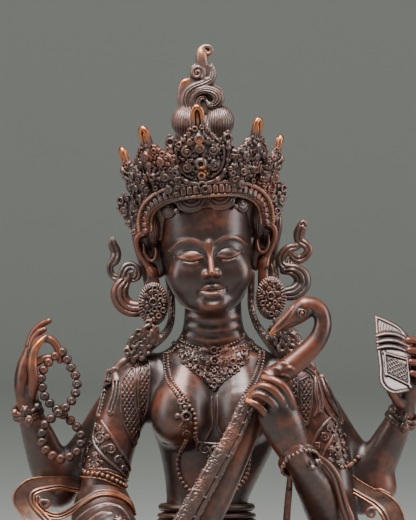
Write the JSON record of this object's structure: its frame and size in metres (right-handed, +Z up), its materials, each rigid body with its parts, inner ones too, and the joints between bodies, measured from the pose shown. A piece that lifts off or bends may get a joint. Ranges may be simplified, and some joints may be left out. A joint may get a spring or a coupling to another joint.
{
  "type": "seated deity statue",
  "caption": "Seated four-armed female figure in patinated copper, playing a long-necked lute, on an oval double-lotus base.",
  "frame": {"origin": "centre of the base's flat underside", "axes": "+Z up through the figure, -Y towards the viewer that the figure faces, +X to the figure's own left"},
  "size_m": [0.2045, 0.12, 0.3362],
  "materials": {
    "figure": "dark brown patinated copper, rubbed to bare copper on raised edges",
    "lotus_base": "dark brown patinated copper, rubbed to bare copper on the petal tips"
  },
  "bodies": {
    "root": {"figure": "figure", "lotus_base": "lotus_base"}
  },
  "joints": []
}
